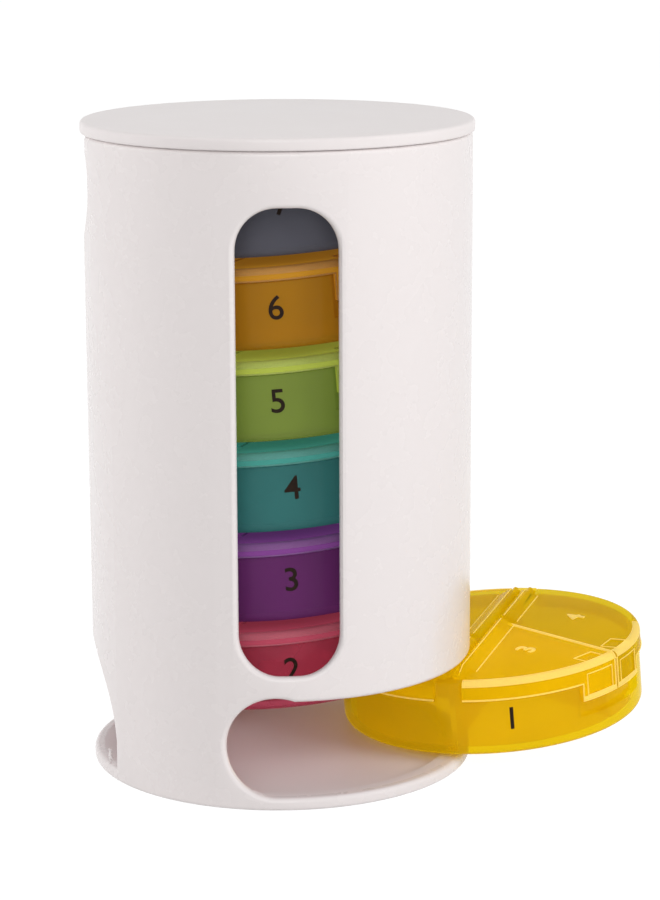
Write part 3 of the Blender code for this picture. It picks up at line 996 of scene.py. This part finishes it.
def lid_lines(front):
    """The finer pale lines of a lid, painted highlights: its barrel, the pressed window in its tab and the
    thumb step.
    """
    near, far = barrel_span(front)
    bend, crest = far - end_sign(front) * SLOPE_LENGTH, BARREL_HEIGHT + BARREL_RADIUS
    drop = SLOPE_LENGTH * math.tan(math.radians(SLOPE_ANGLE))
    barrel = [Vector((BARREL_OFFSET, *end)) for end in ((near, crest), (bend, crest), (far, crest - drop))]
    toe = [Vector((LID_SIDE + FLANK_WIDTH, end, LID_TOP + FLANK_TOE)) for end in (near, bend)]
    first, last = tab_span(front, PANEL_MARGIN_ANGLE)
    low, high = LID_TOP - TAB_DEPTH + PANEL_MARGIN, LID_TOP - PANEL_TOP
    panel = arc_line(LID_RADIUS, first, last, low) + arc_line(LID_RADIUS, last, first, high)
    half = THUMB_WIDTH / 2
    rim = -math.sqrt((LID_RADIUS - LID_EDGE) ** 2 - half ** 2)
    turn = Matrix.Rotation(math.radians((first + last) / 2), 4, "Z")
    corners = ((-half, rim), (-half, -THUMB_INNER), (half, -THUMB_INNER), (half, rim))
    thumb_step = [turn @ Vector((*corner, LID_TOP)) for corner in corners]
    return [barrel, toe, panel + panel[:1], thumb_step]


def band_mesh(front):
    """A thin pale band laid over a lid's rounded edge, a painted highlight."""
    centre = Vector((LID_RADIUS - LID_EDGE, LID_TOP - LID_EDGE))
    turns = evenly(0.0, math.pi / 2, BAND_STEPS)
    rounds = []
    for reach in (LID_EDGE + BAND_DEPTH, LID_EDGE - BAND_DEPTH):
        line = [centre + Vector((math.sin(turn), math.cos(turn))) * reach for turn in turns]
        rounds.append([line[0] - Vector((BAND_REACH, 0.0))] + line)
    section = rounds[0] + rounds[1][::-1]
    first, last = lid_arc(front)
    # A back lid's painted highlight band stops at BACK_BAND_END, away from the light
    first = min(first, BACK_BAND_END)
    inset = math.degrees(OUTLINE_RADIUS / LID_RADIUS)
    first, last = (first + inset, last - inset) if front else (first - inset, last + inset)
    count = math.ceil(abs(last - first) / 360 * TRAY_STEPS)
    work = bmesh.new()
    rings = []
    for bearing in evenly(first, last, count):
        rings.append([work.verts.new(bearing_point(radius, bearing, height)) for radius, height in section])
    for ring, after in zip(rings, rings[1:]):
        for index in range(len(section)):
            work.faces.new((ring[index - 1], ring[index], after[index], after[index - 1]))
    work.faces.new(rings[0])
    work.faces.new(rings[-1][::-1])
    bmesh.ops.recalc_face_normals(work, faces=work.faces)
    return mesh_from("band", work)


def tab_band_mesh(front):
    """A thin pale band laid over the foot of a lid's tab, a painted highlight."""
    inner, outer = LID_RADIUS - BAND_DEPTH, LID_RADIUS + BAND_DEPTH
    low, high = (LID_TOP - TAB_DEPTH + rise for rise in (TAB_BAND_RISE, PANEL_MARGIN))
    return sector_mesh("tab_band", *tab_span(front, 0.0), inner, outer, low, high)


def pale_mesh(front, state):
    """All the pale lines and bands of a lid, painted highlights, with one along the split where no tray lies
    close above.
    """
    parts = [
        bead_mesh("outline", [lid_outline_line(front, state)], OUTLINE_RADIUS),
        bead_mesh("lines", lid_lines(front), LINE_RADIUS),
        band_mesh(front),
        tab_band_mesh(front),
    ]
    if front and state == "drawn":
        parts.append(bead_mesh("split", [split_line(front)], SPLIT_LINE_RADIUS))
    return joined("painted_highlight_lines", parts)


# Nodes


def fill(tree, node, inputs):
    """Sets each input of a node to a value, or links it to another node's output."""
    for label, value in inputs.items():
        if isinstance(value, bpy.types.NodeSocket):
            tree.links.new(value, node.inputs[label])
        else:
            node.inputs[label].default_value = value


def add_node(tree, kind, inputs, **settings):
    node = tree.nodes.new(kind)
    for label, value in settings.items():
        setattr(node, label, value)
    fill(tree, node, inputs)
    return node


# Flash, the rough crumbs that moulding leaves


def random_vector(tree, low, high, seed):
    inputs = {"Min": low, "Max": high, "Seed": seed}
    return add_node(tree, "FunctionNodeRandomValue", inputs, data_type="FLOAT_VECTOR").outputs["Value"]


def flash_tree():
    """Small crumbs of uneven size and turn, strewn over a patch."""
    tree = bpy.data.node_groups.new("moulding_flash", "GeometryNodeTree")
    kinds = {
        "Float": ("Width", "Length", "Smallest", "Largest"),
        "Int": ("Count", "Seed"),
        "Material": ("Plastic",),
    }
    for kind, labels in kinds.items():
        for label in labels:
            tree.interface.new_socket(label, in_out="INPUT", socket_type="NodeSocket" + kind)
    tree.interface.new_socket("Geometry", in_out="OUTPUT", socket_type="NodeSocketGeometry")
    given = tree.nodes.new("NodeGroupInput").outputs
    size = add_node(tree, "ShaderNodeCombineXYZ", {"X": given["Width"], "Y": given["Length"]}).outputs[0]
    near, far = (
        add_node(tree, "ShaderNodeVectorMath", {0: size, "Scale": share}, operation="SCALE").outputs[0]
        for share in (-0.5, 0.5)
    )
    seed = given["Seed"]
    places = random_vector(tree, near, far, seed)
    turns = random_vector(tree, (0.0, 0.0, 0.0), (math.tau, math.tau, math.tau), seed)
    sizes = random_vector(tree, given["Smallest"], given["Largest"], seed)
    points = add_node(tree, "GeometryNodePoints", {"Count": given["Count"], "Position": places}).outputs[0]
    ball = {"Radius": 1.0, "Subdivisions": CRUMB_DIVISIONS}
    crumb = add_node(tree, "GeometryNodeMeshIcoSphere", ball).outputs["Mesh"]
    spread = {"Points": points, "Instance": crumb, "Rotation": turns, "Scale": sizes}
    strewn = add_node(tree, "GeometryNodeInstanceOnPoints", spread).outputs[0]
    real = add_node(tree, "GeometryNodeRealizeInstances", {0: strewn}).outputs[0]
    coated = add_node(tree, "GeometryNodeSetMaterial", {"Geometry": real, "Material": given["Plastic"]})
    add_node(tree, "NodeGroupOutput", {0: coated.outputs[0]})
    return tree


def flash_mesh(tree, inputs):
    """A patch of crumbs as a plain mesh, lying round its own origin."""
    item = placed("flash", bpy.data.meshes.new("flash"))
    modifier = item.modifiers.new("nodes", "NODES")
    modifier.node_group = tree
    for socket in tree.interface.items_tree:
        if socket.name in inputs:
            modifier[socket.identifier] = inputs[socket.name]
    return applied(item)


# Numerals


def text_mesh(name, words, height, depth, bold):
    """Raised lettering, centred, on the XY plane."""
    curve = bpy.data.curves.new(name, "FONT")
    curve.body = words
    curve.size = height / CAPITAL_SHARE
    curve.offset = bold
    curve.extrude = depth / 2
    curve.align_x = "CENTER"
    curve.resolution_u = LETTER_STEPS
    mesh = sewn(applied(placed(name, curve)))
    bpy.data.curves.remove(curve)
    low = min(vert.co.y for vert in mesh.vertices)
    high = max(vert.co.y for vert in mesh.vertices)
    mesh.transform(Matrix.Translation((0.0, -(low + high) / 2, 0.0)))
    return mesh


def side_numeral_mesh(number):
    """A numeral wrapped round the side of a tray."""
    mesh = text_mesh(f"numeral_{number}", str(number), NUMERAL_HEIGHT, NUMERAL_DEPTH, NUMERAL_BOLD)
    middle, height = NUMERAL_PLACES[number]
    for vert in mesh.vertices:
        bearing = middle + math.degrees(vert.co.x / TRAY_RADIUS)
        vert.co = bearing_point(TRAY_RADIUS + vert.co.z + NUMERAL_DEPTH / 2, bearing, height + vert.co.y)
    return mesh


def lid_mark_mesh(kind, number):
    mesh = text_mesh(f"mark_{number}", str(number), MARK_HEIGHT, MARK_DEPTH, MARK_BOLD)
    place = Matrix.Translation((*MARK_PLACES[kind], LID_TOP + MARK_DEPTH / 2 - MARK_SINK))
    mesh.transform(place @ Matrix.Rotation(math.radians(MARK_TURN), 4, "Z"))
    return mesh


# Materials


class Finish:
    """A material made of nodes round one shader."""

    def __init__(self, name):
        self.material = bpy.data.materials.new(name)
        self.material.use_nodes = True
        self.tree = self.material.node_tree
        self.shader = self.tree.nodes["Principled BSDF"]
        self.place = self.tree.nodes.new("ShaderNodeTexCoord").outputs["Object"]

    def set(self, inputs):
        fill(self.tree, self.shader, inputs)

    def noise(self, scale, detail):
        inputs = {"Scale": scale, "Detail": detail, "Vector": self.place}
        return add_node(self.tree, "ShaderNodeTexNoise", inputs).outputs["Fac"]

    def spread(self, value, low, high):
        """The middle of a noise's range, drawn out between two values."""
        ends = {"From Min": NOISE_LOW, "From Max": NOISE_HIGH, "To Min": low, "To Max": high}
        inputs = {"Value": value, **ends}
        return add_node(self.tree, "ShaderNodeMapRange", inputs).outputs["Result"]

    def mottled(self, noise, colour, share):
        """A colour that drifts between a share of itself and its full strength."""
        inputs = {
            "Factor": self.spread(noise, 0.0, 1.0),
            "A": (*shaded(colour, share), 1.0),
            "B": (*colour, 1.0),
        }
        return add_node(self.tree, "ShaderNodeMix", inputs, data_type="RGBA").outputs["Result"]

    def bump(self, *layers):
        """Lays bumps over each other, each with its noise's scale and detail, its strength and its depth."""
        before = {}
        for scale, detail, strength, depth in layers:
            inputs = {"Height": self.noise(scale, detail), "Strength": strength, "Distance": depth, **before}
            before = {"Normal": add_node(self.tree, "ShaderNodeBump", inputs).outputs["Normal"]}
        self.set(before)


def shaded(colour, share):
    return tuple(channel * share for channel in colour)


def white_plastic(name, roughness, bend):
    """Moulded white plastic: faint flow bands, a fine grain and a few rubbed patches."""
    finish = Finish(name)
    finish.set({
        "Base Color": finish.mottled(finish.noise(*WHITE_CLOUD), TUBE_WHITE, WHITE_SHARE),
        "Roughness": finish.spread(finish.noise(*WHITE_RUBBING), roughness - RUBBED, roughness + RUBBED),
        "IOR": bend,
    })
    finish.bump(WHITE_WAVES, WHITE_GRAIN)
    return finish.material


def clear_plastic(name, colour, clear, glow, gloss=0.0):
    """Tinted see-through plastic, slightly milky, with a painted glow in its own tint."""
    finish = Finish(name)
    tint = finish.mottled(finish.noise(*CLEAR_CLOUD), colour, CLEAR_SHARE)
    finish.set({
        "Base Color": tint,
        # The emission is a painted glow in the plastic's own tint
        "Emission Color": tint,
        "Emission Strength": glow,
        "Roughness": finish.spread(finish.noise(*CLEAR_RUBBING), *CLEAR_ROUGHNESS),
        "Transmission Weight": clear,
        "IOR": CLEAR_BEND,
        "Coat Weight": gloss,
        "Coat Roughness": COAT_ROUGHNESS,
    })
    finish.bump(CLEAR_WAVES, CLEAR_GRAIN)
    return finish.material


def ink():
    """Printed ink, slightly uneven."""
    finish = Finish("numeral_ink")
    patch = finish.noise(*INK_PATCH)
    finish.set({
        "Base Color": finish.mottled(patch, INK, INK_SHARE),
        "Roughness": finish.spread(patch, *INK_ROUGHNESS),
        "IOR": INK_BEND,
    })
    return finish.material


def mark_plastic(name, colour, glow, paleness):
    """The frosted face of a raised mark or a moulded edge, paler and with a painted glow; on an edge the
    paleness is a painted highlight.
    """
    finish = Finish(name)
    pale = tuple(channel + (1.0 - channel) * paleness for channel in colour)
    grain = finish.noise(*EDGE_GRAIN)
    finish.set({
        "Base Color": finish.mottled(grain, pale, EDGE_SHARE),
        # The emission is a painted glow, and on the edge lines the paleness is a painted highlight
        "Emission Color": (*pale, 1.0),
        "Emission Strength": glow,
        "Transmission Weight": EDGE_CLEAR,
        "IOR": EDGE_BEND,
        "Roughness": finish.spread(grain, *EDGE_ROUGHNESS),
    })
    finish.bump((*EDGE_GRAIN, *EDGE_BUMP))
    return finish.material


# Pieces


def scaled(mesh, place=Matrix.Identity(4)):
    """The millimetre mesh in metres, at its place."""
    mesh.transform(place @ Matrix.Scale(MM, 4))
    return mesh


def standing(radius, height):
    """Sets a flat patch upright against the front of a round wall."""
    return Matrix.Translation((0.0, -radius, height)) @ Matrix.Rotation(math.pi / 2, 4, "X")


def make_tube(flash):
    plastic = white_plastic("satin_white", *SATIN_WHITE)
    piece("tube", scaled(tube_wall_mesh()), "case_body", ["case_body"], plastic)
    plate_plastic = white_plastic("dull_white", *DULL_WHITE)
    piece("base_plate", scaled(base_plate_mesh()), "case_body", [], plate_plastic)
    crumbs = flash_mesh(flash, {**FOOT_FLASH, "Plastic": plastic})
    side = Matrix.Rotation(math.radians(FOOT_FLASH_BEARING), 4, "Z")
    crumbs.transform(side @ standing(OUTER_RADIUS, FOOT_FLASH_HEIGHT))
    piece("tube_flash", scaled(crumbs), "case_body", [], plastic)


def make_cap():
    plastic = white_plastic("matt_white", *MATT_WHITE)
    piece("cap_disc", scaled(cap_mesh()), "cap", ["cap"], plastic)


def joint_named(name):
    return next(joint for joint in frame["joints"] if joint["name"] == name)


def tray_place(number):
    """Where a tray stands, read from the hinge line of its right-hand lids and its own axis."""
    hinge = joint_named(f"tray_{number}_lid_front_right_hinge")
    other = joint_named(f"tray_{number}_lid_back_left_hinge")
    ahead = -Vector(hinge["axis"]).normalized()
    right = (Vector(hinge["pos_m"]) - Vector(other["pos_m"])).normalized()
    upward = right.cross(ahead).normalized()
    right = ahead.cross(upward).normalized()
    middle = (Vector(hinge["pos_m"]) + Vector(other["pos_m"])) / 2
    origin = middle - upward * BARREL_HEIGHT * MM
    place = Matrix((right, ahead, upward)).transposed().to_4x4()
    return Matrix.Translation(origin) @ place


def state_shapes(state):
    """The bowl and the two kinds of lid with their pale lines, as they are drawn out or stacked."""
    shapes = {"bowl": bowl_mesh(state)}
    for kind in ("front", "back"):
        front = kind == "front"
        shapes[kind] = lid_mesh(front, state)
        shapes[kind + "_lines"] = pale_mesh(front, state)
    return shapes


def make_tray(number, state, shapes, printed, flash):
    """One tray with its lids, from the shapes of its state."""
    colour, lid_tint, bowl_tint, highlight_glow = TRAY_PLASTICS[number]
    lid_look = (LID_CLEAR[state], LID_PAINTED_GLOW[state])
    # Two copies of the lid plastic: a plain one, and one whose tint is darkened as painted shade for the back
    # lids
    lid_plastics = {
        "pale": clear_plastic(f"clear_{colour}_lid", lid_tint, *lid_look),
        "painted_shade": clear_plastic(f"clear_{colour}_lid_painted_shade", shaded(lid_tint, PAINTED_SHADE_SHARE), *lid_look),
    }
    bowl_look = (BOWL_CLEAR[state], BOWL_PAINTED_GLOW[state], BOWL_GLOSS)
    bowl_plastic = clear_plastic(f"clear_{colour}_bowl", bowl_tint, *bowl_look)
    # One frosted material for the raised marks and for the painted highlight lines
    frosted = mark_plastic(f"frosted_{colour}", lid_tint, highlight_glow, MARK_AND_HIGHLIGHT_PALENESS[state])
    place = tray_place(number)
    body = f"tray_{number}"
    piece(body + "_bowl", scaled(shapes["bowl"].copy(), place), body, [body], bowl_plastic)
    piece(body + "_numeral", scaled(side_numeral_mesh(number), place), body, [], printed)
    crumbs = flash_mesh(flash, {**LUG_FLASH, "Seed": number, "Plastic": bowl_plastic})
    crumbs.transform(standing(LID_RADIUS, LUG_FLASH_HEIGHT))
    mesh = joined("lug_flash", [crumbs, half_turned(crumbs)])
    piece(body + "_flash", scaled(mesh, place), body, [], bowl_plastic)
    # The last column picks a lid's plain plastic or the one with painted shade
    for side, (kind, turned_round, mark, depth) in LIDS.items():
        turn = Matrix.Rotation(math.pi, 4, "Z") if turned_round else Matrix.Identity(4)
        lid = f"{body}_lid_{side}"
        panel = scaled(shapes[kind].copy(), place @ turn)
        piece(lid + "_panel", panel, lid, [lid], lid_plastics[depth])
        # The mark piece also carries the lid's painted highlight lines
        mesh = joined("mark", [lid_mark_mesh(kind, mark), shapes[kind + "_lines"]])
        piece(lid + "_mark", scaled(mesh, place @ turn), lid, [], frosted)


def make_stack(flash):
    states = {state: state_shapes(state) for state in ("drawn", "stacked")}
    printed = ink()
    for number in range(1, TRAY_COUNT + 1):
        state = "drawn" if number == DRAWN_TRAY else "stacked"
        make_tray(number, state, states[state], printed, flash)


# Stage


def make_camera():
    camera = bpy.data.cameras.new("photo_camera")
    camera.sensor_fit = "VERTICAL"
    camera.sensor_height = CAMERA_SENSOR
    camera.lens = CAMERA_FOCAL / PHOTO_HEIGHT * CAMERA_SENSOR
    camera.clip_start = CAMERA_NEAR
    item = placed("photo_camera", camera)
    ahead = Vector((
        math.sin(CAMERA_YAW) * math.cos(CAMERA_PITCH),
        math.cos(CAMERA_YAW) * math.cos(CAMERA_PITCH),
        -math.sin(CAMERA_PITCH),
    ))
    right = Vector((math.cos(CAMERA_YAW), -math.sin(CAMERA_YAW), 0.0))
    above = right.cross(ahead)
    rolled_right = right * math.cos(CAMERA_ROLL) + above * math.sin(CAMERA_ROLL)
    rolled_above = above * math.cos(CAMERA_ROLL) - right * math.sin(CAMERA_ROLL)
    turn = Matrix((rolled_right, rolled_above, -ahead)).transposed().to_4x4()
    item.matrix_world = Matrix.Translation(CAMERA_PLACE) @ turn
    bpy.context.scene.camera = item


def add_lamp(name, place, size, energy, mirrored):
    lamp = bpy.data.lights.new(name, "AREA")
    lamp.shape = "DISK"
    lamp.size = size
    lamp.energy = energy
    item = placed(name, lamp)
    direction = Vector(LAMP_TARGET) - Vector(place)
    item.matrix_world = Matrix.Translation(place) @ direction.to_track_quat("-Z", "Y").to_matrix().to_4x4()
    item.visible_glossy = mirrored


def seen_rays(tree):
    """One for rays that show a surface to the eye, by itself, mirrored or through plastic."""
    path = tree.nodes.new("ShaderNodeLightPath").outputs
    value = path["Is Camera Ray"]
    for label in ("Is Glossy Ray", "Is Transmission Ray"):
        value = add_node(tree, "ShaderNodeMath", {0: value, 1: path[label]}, operation="MAXIMUM").outputs[0]
    return value


def show_mix(tree, output, share, first, second):
    """Shows the first shader, with a share of the second."""
    mix = add_node(tree, "ShaderNodeMixShader", {0: share, 1: first.outputs[0], 2: second.outputs[0]})
    fill(tree, tree.nodes[output], {"Surface": mix.outputs[0]})


def pale_backdrop():
    """A pale floor that shows white and still takes the object's shadow."""
    material = bpy.data.materials.new("pale_floor")
    material.use_nodes = True
    tree = material.node_tree
    shader = tree.nodes["Principled BSDF"]
    fill(tree, shader, {"Base Color": (*FLOOR_COLOUR, 1.0), "Roughness": FLOOR_ROUGHNESS})
    glow = add_node(tree, "ShaderNodeEmission", {"Strength": FLOOR_GLOW})
    inputs = {0: seen_rays(tree), 1: FLOOR_GLOW_SHARE}
    share = add_node(tree, "ShaderNodeMath", inputs, operation="MULTIPLY").outputs[0]
    show_mix(tree, "Material Output", share, shader, glow)
    return material


def make_floor():
    work = bmesh.new()
    bmesh.ops.create_grid(work, x_segments=1, y_segments=1, size=FLOOR_SIZE)
    mesh = mesh_from("floor", work)
    mesh.materials.append(pale_backdrop())
    floor = placed("floor", mesh)


def make_world():
    world = bpy.data.worlds.new("studio")
    world.use_nodes = True
    tree = world.node_tree
    room = tree.nodes["Background"]
    fill(tree, room, {"Color": (*ROOM_COLOUR, 1.0), "Strength": ROOM_LIGHT})
    white = add_node(tree, "ShaderNodeBackground", {"Color": WHITE, "Strength": 1.0})
    show_mix(tree, "World Output", seen_rays(tree), room, white)
    bpy.context.scene.world = world


def make_stage():
    make_camera()
    make_world()
    make_floor()
    for name, settings in LAMPS.items():
        add_lamp(name, *settings)
    bpy.context.scene.view_settings.view_transform = "Standard"


flash = flash_tree()
make_stage()
make_tube(flash)
make_cap()
make_stack(flash)
